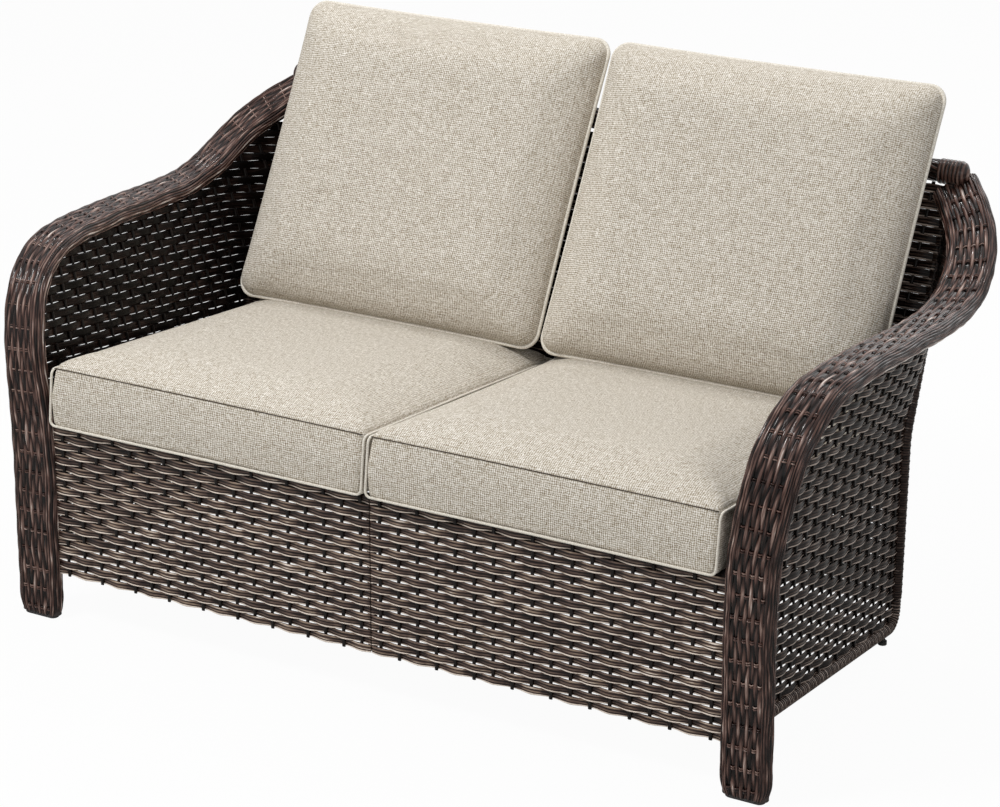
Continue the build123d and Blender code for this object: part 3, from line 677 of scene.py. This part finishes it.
def woven_panel(
    name, node, place, material, shade, seeds, rows, row_pitch, samples, stakes,
    stake_pitch=stake_pitch, stake_samples=12, slope=0.0, pinch=side_pinch,
):
    """Ribbons and stakes of a panel, a piece each on both sides. Rows are the ribbons'
    starts, ends and bases, and stakes their places, low ends and high ends. A ribbon runs
    at the height base + slope times the way along, and swings about the stakes by a
    cosine that changes sign from row to row. Its width grows with the cosine, less the
    pinch times its square."""
    starts, ends, base = (np.broadcast_to(value, len(rows[2]))[:, None] for value in rows)
    number = np.arange(len(base))[:, None]
    u = starts + (ends - starts) * np.linspace(0, 1, samples)
    phase = pi * ((u - stakes[0][0]) / stake_pitch + number)
    swing = np.cos(phase)
    spot, along, rising, normal = sheet_frame(place, u, base + slope * u)
    center = spot + normal * (ribbon_depth * swing)[..., None]
    width = row_pitch + ribbon_swell * swing - ribbon_slack - pinch * swing**2
    profile_x, profile_y = ribbon_profile.T
    wide = profile_x * width[..., None]
    ribbons = carried(center, rising, wide, normal, profile_y * ribbon_half)
    ribbon_uv = grid((u + row_shift * number)[..., None], profile_x * row_pitch)
    floats = np.floor(phase / pi + 0.5).astype(int)
    floats = floats - floats.min()

    at, lows, highs = (np.broadcast_to(value, len(stakes[0]))[:, None] for value in stakes)
    v = lows + (highs - lows) * np.linspace(0, 1, stake_samples)
    spot, along, rising, normal = sheet_frame(place, np.broadcast_to(at, v.shape), v)
    stake_x = np.cos(stake_angles) * stake_half_width
    stake_y = np.sin(stake_angles) * stake_half_depth
    stems = carried(spot, along, stake_x, normal, stake_y)
    stem_uv = grid(v[..., None], stake_x)

    for (side, mirror), seed in zip(sides.items(), seeds):
        draw = np.random.default_rng(seed)
        row_shade = draw.uniform(-0.1, 0.1, (len(base), 1))
        float_shade = draw.uniform(-0.14, 0.14, (len(base), floats.max() + 1))
        per_float = np.take_along_axis(float_shade, floats, axis=1)
        # Rows and floats differ in tone at random, and the swing term is painted shade: lighter
        # where a ribbon comes forward, darker where it goes behind the stakes.
        tone = (shade + row_shade + per_float + 0.16 * swing)[..., None] + ribbon_painted_light
        woven, replaced = name + "_ribbons_" + side, [node + "_" + side]
        strand_piece(woven, ribbons * mirror, ribbon_uv, tone, material, replaced)
        strand_piece(name + "_stakes_" + side, stems * mirror, stem_uv, stake_tone, dark_resin)


arm_inner = band_center - band_across * (band_half_width - band_half_thickness)
arm_inner = arm_inner[arm_inner[:, 1] > leg_y + arm_start]
farthest = np.maximum.accumulate(arm_inner[:, 1])
arm_inner = arm_inner[np.concatenate([[True], np.diff(farthest) > 1e-5])]
rail_slope = (rail_rear_z - rail_front_z) / (post_y - leg_y)
lean_run = top_rail_y - post_y
lean_slope = (back_height - kink_z) / lean_run


def side_top(y):
    """The inner arm tube's x and z where it passes y."""
    return [np.interp(y, arm_inner[:, 1], arm_inner[:, k]) for k in (0, 2)]


def side_foot(y):
    """The height of the panel's foot line: the bottom rail ahead of the post and the
    leaning post behind it."""
    rail = rail_front_z + rail_slope * (y - leg_y)
    return np.where(y < post_y, rail, kink_z + lean_slope * (y - post_y))


def side_place(y, z):
    """The side panel's middle surface: upright from its foot line to the knee, then
    leaning in a straight line to the inner arm tube."""
    top_x, top_z = side_top(y)
    low_z = side_foot(y)
    edge_z = side_top(post_y)[1]
    edge_knee = rail_rear_z + knee_share * (edge_z - rail_rear_z)
    rear_share = (edge_knee - kink_z) / (edge_z - kink_z)
    knee_z = low_z + np.where(y < post_y, knee_share, rear_share) * (top_z - low_z)
    low_x = rail_x - lean_in * np.clip((y - post_y) / lean_run, 0, 1)
    lean = np.clip((z - knee_z) / np.maximum(top_z - knee_z, 1e-4), 0, 1.2)
    return np.stack([low_x + (top_x - low_x) * lean, y, z], -1)


row_base = side_row_pitch * (np.arange(side_rows) + first_row) + wrap_radius
row_base = row_base + rail_front_z - rail_slope * leg_y
fine_y = np.linspace(leg_y + front_gap, top_rail_y - rear_gap, 500)
row_z = row_base[:, None] + rail_slope * fine_y
inside = (row_z < side_top(fine_y)[1] - arm_gap) & (row_z > side_foot(fine_y))
kept = inside.sum(axis=1) > fewest_points
inside = inside[kept]
row_start = fine_y[np.argmax(inside, axis=1)]
row_end = fine_y[len(fine_y) - 1 - np.argmax(inside[:, ::-1], axis=1)] + panel_reach
stake_at = np.arange(leg_y + stake_margin, top_rail_y - stake_margin, side_stake_pitch)
stakes = np.array([stake_at, side_foot(stake_at), side_top(stake_at)[1]])
stakes = stakes[:, stakes[2] - stakes[1] > shortest_stake]
woven_panel(
    "side_panel", "side_panel", side_place, panel_resin,
    shade=0.24, seeds=(11, 11), rows=(row_start, row_end, row_base[kept]),
    row_pitch=side_row_pitch, slope=rail_slope, samples=150, stakes=stakes,
    stake_pitch=side_stake_pitch, stake_samples=40,
)

# Top rail: polyethylene strands laid round the tube of the top rail in a long twist, a
# turn every 320 mm, and pressed down a little every 33 mm.
top_wrap_radius = 0.017
top_rail_half = 0.598
top_strands = 14
top_twist = 0.32
top_girth = 0.107
top_inset = 0.0017
top_rise = 0.002
press_depth = 0.0004
press_length = 0.005
top_x = np.linspace(-top_rail_half, top_rail_half, 260)[:, None]
top_around = np.arange(top_strands * 4) / (top_strands * 4)
top_dome = round_top((top_around * top_strands) % 1)
top_number = np.floor(top_around * top_strands).astype(int)
top_pair = np.round(top_x / binding_pitch)
top_near = np.exp(-(((top_x - top_pair * binding_pitch) / press_length) ** 2))
top_over = np.where((top_number + top_pair) % 2 == 0, 1.0, -1.0)
top_radius = top_wrap_radius - top_inset + top_rise * top_dome
top_radius = top_radius - press_depth * top_near * top_over
top_angle = tau * (top_around + top_x / top_twist)
top_shades = rng.uniform(0.15, 0.6, top_strands)
top_y = top_rail_y + top_radius * np.cos(top_angle)
top_z = back_height + top_radius * np.sin(top_angle)
top_uv = grid(top_x, top_around * top_girth)
# Strands differ in tone at random, and painted shade darkens each strand's edges and the places
# where it is pressed under.
top_tone_and_painted_shade = top_shades[top_number] + 0.7 * (top_dome - 0.9) - 0.2 * top_near * (top_over < 0)
top_skin = grid(top_x, top_y, top_z)
strand_piece("top_rail_strands", top_skin, top_uv, top_tone_and_painted_shade, arm_resin, ["top_rail_wrap"])

# Ends of the top rail: the ribbons of each arm band go on round the rail, side by side,
# and close over its end.
wrap_start = 0.562
wrap_end = 0.6085
wrap_outer = 0.0198
wrap_girth = 0.12
wrap_length = 0.046
wrap_ribbon = 0.0062
ribbon_rise = 0.001
closing_share = 0.28
smallest_close = 0.02
wrap_share = np.linspace(0, 1, 61)[:, None]
wrap_dome = np.abs(np.sin(pi * wrap_share * (wrap_end - wrap_start) / wrap_ribbon))
past = np.clip((wrap_share - (1 - closing_share)) / closing_share, 0, 1)
wrap_close = np.sqrt(np.clip(1 - past**2, smallest_close, 1))
wrap_size = (wrap_outer - ribbon_rise + ribbon_rise * wrap_dome) * wrap_close
wrap_around = np.arange(40) / 40
wrap_points = grid(
    wrap_start + (wrap_end - wrap_start) * wrap_share,
    top_rail_y + wrap_size * np.cos(tau * wrap_around),
    back_height + wrap_size * np.sin(tau * wrap_around),
)
wrap_uv = grid(wrap_around * wrap_girth, wrap_share * wrap_length)
# Painted light: lighter on each ribbon's crown and darker in the grooves between ribbons.
wrap_painted_light = 0.55 * wrap_dome + 0.05
for side, mirror in sides.items():
    strand_piece("band_end_wrap_" + side, wrap_points * mirror, wrap_uv, wrap_painted_light, arm_resin)

# Woven back: two halves between the posts above the seat and two low ones below it, of
# the same ribbons and stakes, following the lean of the posts.
back_row_pitch = 0.0131
back_near = 0.0068
back_far = 0.5905
back_spans = [("back_panel", 0.2545, kink_z + 0.3955), ("rear_apron", 0.074, 0.232)]
kink_ease = 0.02
lean_angle = atan2(lean_run, back_height - kink_z)


def back_place(x, v):
    """The back's middle surface: upright in the plane of the posts up to the kink, then
    leaning back with them by a bend that eases in; v is the way up along it."""
    past = np.maximum(v - kink_z, 0.0)
    soft = past - kink_ease * (1 - np.exp(-past / kink_ease))
    z = np.minimum(v, kink_z) + past * cos(lean_angle)
    return grid(x, post_y + soft * sin(lean_angle), z)


for panel, low, high in back_spans:
    row_base = low + back_row_pitch * (np.arange(int((high - low) / back_row_pitch)) + 0.5)
    stake_at = np.arange(back_near + stake_pitch / 2, back_far, stake_pitch)
    woven_panel(
        panel, panel, back_place, panel_resin,
        shade=0.3, seeds=(23, 23), rows=(back_near, back_far, row_base),
        row_pitch=back_row_pitch, samples=92, stakes=(stake_at, low, high),
    )

# Front skirt: two halves of ribbons and stakes between the legs, from the rod at the lower edge
# to under the seat cushions. The ribbons are a lighter copy of the panels' strand, as painted
# light, and the stake ends show below the lowest row.
skirt_y = -0.3936
skirt_low = 0.0785
skirt_row_pitch = 0.01265
skirt_rows = 20
skirt_stakes = 18
skirt_near = 0.0008
skirt_far = 0.572
stub_length = 0.001
skirt_pinch = -0.0003
# Painted light: a lighter ramp than the panels' strand, whose palest stop gives the painted
# highlight lines.
skirt_lit_stops = [
    (0.0, "#120B0A"), (0.3, "#3A2B27"), (0.6, "#68554C"), (0.85, "#A08C79"),
    (1.0, "#F0E2D6"),
]


def skirt_place(x, z):
    """The skirt's upright plane."""
    return grid(x, skirt_y, z)


skirt_lit_resin = strand_material("extruded_polyethylene_skirt_strand_lit_copy", skirt_lit_stops, 0.28)
row_base = skirt_low + skirt_row_pitch * (np.arange(skirt_rows) + 0.5)
stake_at = skirt_near + stake_pitch * (np.arange(skirt_stakes) + 0.5)
stake_top = skirt_low + skirt_row_pitch * skirt_rows
woven_panel(
    "skirt", "skirt_panel", skirt_place, skirt_lit_resin,
    shade=0.38, seeds=(31, 37), rows=(skirt_near, skirt_far, row_base),
    row_pitch=skirt_row_pitch, samples=skirt_stakes * 8 + 5, pinch=skirt_pinch,
    stakes=(stake_at, skirt_low - stub_length, stake_top),
)

# Seat cushions: oatmeal polyester, woven like linen from slubbed yarns, sewn over blocks of
# foam. A cord of the same cloth in a lighter shade is sewn in along the sides, the rear and
# under the front of each. A plain seam runs along the front of its top, drawn as a thin dark
# cord whose colour is painted shadow in the seam.
seat_slope = radians(7.5)
seat_nose = np.array([0.0, -0.4156, 0.3378])
seat_middle = 0.2815
seat_width = 0.5616
seat_depth = 0.599
seat_box = 0.091
seat_crown = 0.0315
seat_corner = 0.009
seat_draw_in = 0.003
seat_trim = 0.0044
seat_cap = 0.005
boxing_swell = 0.0025
front_swell = 0.003
seat_crown_shares = [
    (0.2, 0.004), (0.45, 0.02), (0.72, 0.05), (0.88, 0.095), (0.97, 0.16), (1.0, 0.26)
]
cushion_voxel = 0.0065
cloth_pressure = 4.0
cloth_stiffness = 6.0
cloth_frames = 20
evening_rounds = 16
seam_reach = 0.006
seam_rim = 0.013
seat_cord_radius = 0.002
cord_spacing = 0.004
cord_tone = 0.5
corner_ease = 0.0009
corner_bend = 0.009
side_bend = 0.3
seam_radius = 0.0009
seam_points = 90
seam_end_gap = 0.004
seam_proud = np.array([0.0008, 0.0016])
yarn = 0.0032
stray = 0.0042
stray_length = 130.0
slub_width = 0.002
slub_stretch = 0.22
weave_share = 0.32
cloth_stops = [(0.3, "#82745E"), (0.43, "#B3A998"), (0.56, "#D5CEC3"), (0.7, "#F2EEE7")]
piping_stops = [(0.3, "#BEB6A8"), (0.5, "#DDD7CB"), (0.7, "#F0ECE3")]
# Painted shadow: the dark colour of the seam's cord.
seam_shadow_stops = [(0.3, "#3A332B"), (0.7, "#574E43")]


def outline_points(width, depth, corner, draw_in, count):
    """Points round a cushion's outline, evenly spaced: a rectangle with round corners
    whose sides are drawn in by draw_in (1 - s s) at the share s from mid side to
    corner."""
    angle = circle_angles(60) + pi / 60
    x = (width / 2 - corner) * np.sign(np.cos(angle)) + corner * np.cos(angle)
    y = (depth / 2 - corner) * np.sign(np.sin(angle)) + corner * np.sin(angle)
    ring = grid(np.append(x, x[0]), np.append(y, y[0]))
    x, y = evenly(ring, steps=count)[0][:-1].T
    share_x, share_y = 2 * x / width, 2 * y / depth
    return np.stack([
        x - np.sign(x) * draw_in * (1 - share_y**2) * np.abs(share_x),
        y - np.sign(y) * draw_in * (1 - share_x**2) * np.abs(share_y),
    ], -1)


def cushion_rings(levels, width, depth, corner, draw_in, trim, count=240):
    """Outlines one over the other, one for each height and inset of the levels."""
    rings = []
    for height, inset in levels:
        across, up = width - 2 * (inset + trim), depth - 2 * (inset + trim)
        bend = min(corner + inset / 2, 0.4 * min(across, up))
        rings.append(grid(*outline_points(across, up, bend, draw_in, count).T, height))
    return np.array(rings)


def vertex_places(mesh):
    """A mesh's vertices as rows."""
    places = np.zeros(len(mesh.vertices) * 3)
    mesh.vertices.foreach_get("co", places)
    return places.reshape(-1, 3)


def blown_up(name, rings, pinned, cap):
    """A closed form of rings, remeshed in even faces and blown up as cloth by pressure
    alone. Points that pinned picks stay and the others move by the cap at most. The
    moves are then evened out along the edges, which takes out creases and keeps the
    form's own curves. Gives the mesh and its points."""
    mesh = bpy.data.meshes.new(name)
    index = np.arange(rings.shape[0] * rings.shape[1]).reshape(1, *rings.shape[:2])
    mesh.from_pydata(rings.reshape(-1, 3).tolist(), [], ring_faces(index))
    form = new_object(name, mesh)
    even = form.modifiers.new("even_faces", "REMESH")
    even.mode = "VOXEL"
    even.voxel_size = cushion_voxel
    seen = form.evaluated_get(bpy.context.evaluated_depsgraph_get())
    form.data = bpy.data.meshes.new_from_object(seen)
    form.modifiers.remove(even)
    start = vertex_places(form.data)
    push = np.zeros_like(start)
    held = pinned(start)
    seams = form.vertex_groups.new(name="seams")
    seams.add(np.flatnonzero(held).tolist(), 1.0, "REPLACE")
    cloth = form.modifiers.new("cloth", "CLOTH")
    cloth.settings.use_pressure = True
    cloth.settings.uniform_pressure_force = cloth_pressure
    cloth.settings.bending_stiffness = cloth_stiffness
    cloth.settings.effector_weights.gravity = 0.0
    cloth.settings.vertex_group_mass = "seams"
    cloth.point_cache.frame_start = 1
    cloth.point_cache.frame_end = cloth_frames
    for frame_number in range(1, cloth_frames + 1):
        scene.frame_set(frame_number)
    seen = form.evaluated_get(bpy.context.evaluated_depsgraph_get())
    push = vertex_places(seen.data) - start
    length = np.linalg.norm(push, axis=1, keepdims=True)
    push = push * np.minimum(1, cap / np.maximum(length, 1e-9))
    ends = np.zeros(len(form.data.edges) * 2, np.int32)
    form.data.edges.foreach_get("vertices", ends)
    one, other = ends.reshape(-1, 2).T
    meetings = np.bincount(ends, minlength=len(start))[:, None]
    for _ in range(evening_rounds):
        near = np.zeros_like(push)
        np.add.at(near, one, push[other])
        np.add.at(near, other, push[one])
        push = np.where(held[:, None], 0.0, near / meetings)
    scene.frame_set(1)
    mesh = form.data
    bpy.data.objects.remove(form)
    return mesh, start + push


def cushion(kind, form, filling, side, origin, ways, mesh, points, material, cord):
    """One cushion, a copy of the blown-up mesh with its points in place and smoothed
    once, and the cord round it."""
    body = kind + "_cushion_" + side
    piece = new_object(kind + "_" + form + "_" + side, mesh.copy())
    piece.data.vertices.foreach_set("co", (origin + points @ ways).ravel())
    piece.data.shade_smooth()
    piece.data.materials.clear()
    piece.data.materials.append(material)
    smooth = piece.modifiers.new("smooth", "SUBSURF")
    smooth.levels = smooth.render_levels = 1
    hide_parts(kind + "_cover_" + side, kind + "_" + filling + "_" + side)
    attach(piece, body)
    name, replaced = kind + "_cord_" + side, [kind + "_piping_" + side]
    rings, uv = origin + cord[0] @ ways, cord[1]
    strand_piece(name, rings, uv, cord_tone, piping, replaced, body, loop=True)


def tilted(slope):
    """A cushion's own directions: across, back down the slope, and up square to it."""
    return np.array([(1, 0, 0), (0, cos(slope), -sin(slope)), (0, sin(slope), cos(slope))])


def cushion_cloth(name, turn_x):
    """Slubbed linen-look cloth, matt and uneven, on the cushion's own axes, which turn_x
    finds by a turn about X. Noise drawn out along each axis makes thick and thin yarns.
    A sine along each axis, faded out where the cloth faces along that axis, makes the
    weave. Its yarns are 3.2 mm apart, coarser than real so that they show."""
    material, tree = new_material(name, Roughness=0.9, Specular_IOR_Level=0.2)
    spot = add_node(tree, "TexCoord").outputs
    turned = {"Rotation": (turn_x, 0.0, 0.0)}
    own = add_node(tree, "Mapping", {"Vector": spot["Object"], **turned})
    slubs = []
    for axis in range(3):
        scale = np.where(np.arange(3) == axis, slub_stretch, 1.0) / slub_width
        drawn = add_node(tree, "Mapping", {"Vector": own, "Scale": scale.tolist()})
        slubs.append(add_node(tree, "TexNoise", {"Vector": drawn, "Scale": 1.0, "Detail": 2.0}))
    slub = add_node(tree, "Math", slubs[:2], operation="ADD")
    slub = add_node(tree, "Math", (slub, slubs[2]), operation="ADD")
    wobble = {"Vector": own, "Scale": stray_length, "Detail": 2.0}
    wobble = add_node(tree, "TexNoise", wobble).outputs["Color"]
    strayed = (wobble, (stray,) * 3, own)
    strayed = add_node(tree, "VectorMath", strayed, operation="MULTIPLY_ADD")
    phase = add_node(tree, "VectorMath", (strayed, (tau / yarn,) * 3), operation="MULTIPLY")
    waves = add_node(tree, "VectorMath", [phase], operation="SINE")
    facing = {"Vector": spot["Normal"], **turned}
    facing = add_node(tree, "Mapping", facing, vector_type="VECTOR")
    size = add_node(tree, "VectorMath", [facing], operation="ABSOLUTE")
    level = add_node(tree, "VectorMath", ((1.0,) * 3, size), operation="SUBTRACT")
    weave = add_node(tree, "VectorMath", (waves, level), operation="DOT_PRODUCT")
    total = (weave.outputs["Value"], weave_share, slub)
    total = add_node(tree, "Math", total, operation="MULTIPLY_ADD")
    share = add_node(tree, "Math", (total, float(len(slubs))), operation="DIVIDE")
    color_and_relief(material, share, cloth_stops, total, 0.6, 0.0008)
    return material


def piping_cloth(name, stops):
    """The same cloth cut on the bias round a cord, so its yarns run aslant. They are 1.1
    by 3.3 mm, coarser than real so that they show."""
    material, tree = new_material(name, Roughness=0.85, Specular_IOR_Level=0.2)
    lie = add_node(tree, "UVMap", uv_map="strand")
    aslant = {"Vector": lie, "Rotation": (0.0, 0.0, pi / 4), "Scale": (900.0, 300.0, 1.0)}
    aslant = add_node(tree, "Mapping", aslant)
    yarns = add_node(tree, "TexNoise", {"Vector": aslant, "Scale": 1.0, "Detail": 1.0})
    color_and_relief(material, yarns, stops, yarns, 0.4, 0.0004)
    return material


def cord_rings(line, middle, radius, loop=True):
    """Rings and UV of a round cord along a line, each ring set by the direction away
    from the middle of the cushion."""
    ahead = np.roll(line, -1, 0) - np.roll(line, 1, 0) if loop else np.gradient(line, axis=0)
    ahead = unit(ahead)
    away = line - middle
    away = unit(away - ahead * np.sum(away * ahead, 1, keepdims=True))
    angle = circle_angles(10)
    beside = np.cross(ahead, away)
    rings = carried(line, away, radius * np.cos(angle), beside, radius * np.sin(angle))
    return rings, grid(way_along(line)[:, None], angle * radius)


seat_ways = tilted(seat_slope)
seat_levels = [
    (share * seat_box, -boxing_swell * sin(pi * share))
    for share in np.linspace(0, 1, 9)
]
seat_levels += [
    (seat_box + rise * seat_crown, inset * seat_width) for rise, inset in seat_crown_shares
]
seat_rings = cushion_rings(
    seat_levels, seat_width, seat_depth, seat_corner, seat_draw_in, seat_trim
)
seat_rings[..., 1] += seat_depth / 2
front_bulge = np.sin(pi * np.clip(seat_rings[..., 2] / seat_box, 0, 1))
near_front = np.clip(1 - seat_rings[..., 1] / seat_depth, 0, 1) ** 8
seat_rings[..., 1] -= front_swell * front_bulge * near_front
seat_half = seat_width / 2 - seat_cord_radius
seat_inner = seat_half - corner_ease
seat_front = seat_cord_radius + corner_ease
seat_rear = seat_depth - seat_cord_radius
right_corners = np.array([
    (seat_inner, seat_front, seat_cord_radius),
    (seat_inner, seat_front, seat_box),
    (seat_half - seat_draw_in, seat_depth / 2, seat_box),
    (seat_half, seat_rear, seat_box),
])
cord_corners = [
    *(right_corners * sides["left"])[::-1],
    np.array([0.0, seat_cord_radius + seat_draw_in, seat_cord_radius]),
    *right_corners,
    np.array([0.0, seat_rear - seat_draw_in, seat_box]),
]
cord_start = (cord_corners[0] + cord_corners[-1]) / 2
cord_bends = [corner_bend if corner else side_bend for corner in (1, 0, 1, 1, 0, 1, 1, 0, 1, 0)]
seat_cord_line = rounded([cord_start, *cord_corners, cord_start], cord_bends, 10)
seat_cord_line = evenly(seat_cord_line, cord_spacing)[0][:-1]
seam_share = np.linspace(-1, 1, seam_points)
seat_seam_line = grid(
    seam_share * (seat_inner - seam_end_gap),
    seat_trim + seam_proud[0] + seat_draw_in * (1 - seam_share**2),
    seat_box + seam_proud[1],
)
seat_heart = np.array([0.0, seat_depth / 2, seat_box / 2])
seat_cord = cord_rings(seat_cord_line, seat_heart, seat_cord_radius)
seat_seam = cord_rings(seat_seam_line, seat_heart, seam_radius, loop=False)


def seat_pins(points):
    """Points by the seams round the top and the bottom of a seat cushion."""
    x, y, z = points.T
    rim = np.minimum(seat_width / 2 - np.abs(x), np.minimum(y, seat_depth - y))
    return ((np.abs(z - seat_box) < seam_reach) & (rim < seam_rim)) | (z < seam_reach)


piping = piping_cloth("bias_cut_polyester_piping", piping_stops)
seam_shadow_cloth = piping_cloth("painted_seam_shadow_cloth", seam_shadow_stops)
seat_cloth = cushion_cloth("slubbed_polyester_seat_cloth", seat_slope)
seat_mesh, seat_points = blown_up("seat_form", seat_rings, seat_pins, seat_cap)
for side, mirror in sides.items():
    name, body = "seat_front_seam_" + side, "seat_cushion_" + side
    origin = seat_nose + (mirror[0] * seat_middle, 0.0, 0.0)
    cushion(
        "seat", "pad", "foam", side, origin, seat_ways, seat_mesh, seat_points, seat_cloth,
        seat_cord,
    )
    # The front seam is a thin cord, dark as painted shadow in the seam.
    rings, uv = origin + seat_seam[0] @ seat_ways, seat_seam[1]
    strand_piece(name, rings, uv, cord_tone, seam_shadow_cloth, (), body)

# Back cushions: pillows of the same cloth, filled with fibre and blown up as cloth inside
# the seam that joins their two faces. A thicker cord of the lighter cloth is sewn into
# that seam all the way round, and the rear face is pressed back by the top rail.
back_lean = radians(30.3)
back_foot = np.array([0.0, 0.1129, 0.3884])
back_middle = 0.284
back_shift = 0.006
back_width = 0.5666
back_tall = 0.521
back_corner = 0.027
back_draw_in = 0.0025
back_front_crown = 0.062
back_rear_crown = 0.0661
back_front_limit = 0.068
back_front_ease = 0.013
back_cord_radius = 0.0035
back_cord_points = 520
back_trim = 0.0046
back_cap = 0.006
back_shares = [
    (-1.0, 0.34), (-0.94, 0.22), (-0.81, 0.135), (-0.63, 0.075), (-0.42, 0.034), (-0.2, 0.01),
    (-0.1, 0.002), (0.0, 0.0), (0.08, 0.0), (0.18, 0.001), (0.32, 0.0055), (0.47, 0.016),
    (0.63, 0.036), (0.78, 0.07), (0.9, 0.12), (0.97, 0.19), (1.0, 0.3),
]

back_ways = tilted(back_lean - pi / 2)
back_levels = [
    (rise * (back_front_crown if rise > 0 else back_rear_crown), inset * back_tall)
    for rise, inset in back_shares
]
back_rings = cushion_rings(
    back_levels, back_width, back_tall, back_corner, back_draw_in, back_trim
)
back_rings[..., 1] += back_tall / 2
cord_width, cord_tall = back_width - 2 * back_cord_radius, back_tall - 2 * back_cord_radius
back_cord_line = outline_points(
    cord_width, cord_tall, back_corner, back_draw_in, back_cord_points
)
back_cord_line = grid(back_cord_line[:, 0], back_cord_line[:, 1] + back_tall / 2, 0.0)
back_heart = np.array([0.0, back_tall / 2, 0.0])
back_cord = cord_rings(back_cord_line, back_heart, back_cord_radius)


def back_pins(points):
    """Points by the seam round a back cushion."""
    return np.abs(points[:, 2]) < seam_reach


back_cloth = cushion_cloth("slubbed_polyester_back_cloth", back_lean)
back_mesh, back_points = blown_up("back_form", back_rings, back_pins, back_cap)

# The rear face stops at its crown, and the front one nears its limit by a tanh.
bulge = back_points[:, 2]
over = np.maximum(bulge - back_front_limit + back_front_ease, 0.0)
eased = back_front_ease * np.tanh(over / back_front_ease)
back_points[:, 2] = np.maximum(bulge, -back_rear_crown) - over + eased
for side, mirror in sides.items():
    origin = back_foot + (mirror[0] * back_middle + back_shift, 0.0, 0.0)
    cushion(
        "back", "pillow", "filling", side, origin, back_ways, back_mesh, back_points, back_cloth,
        back_cord,
    )
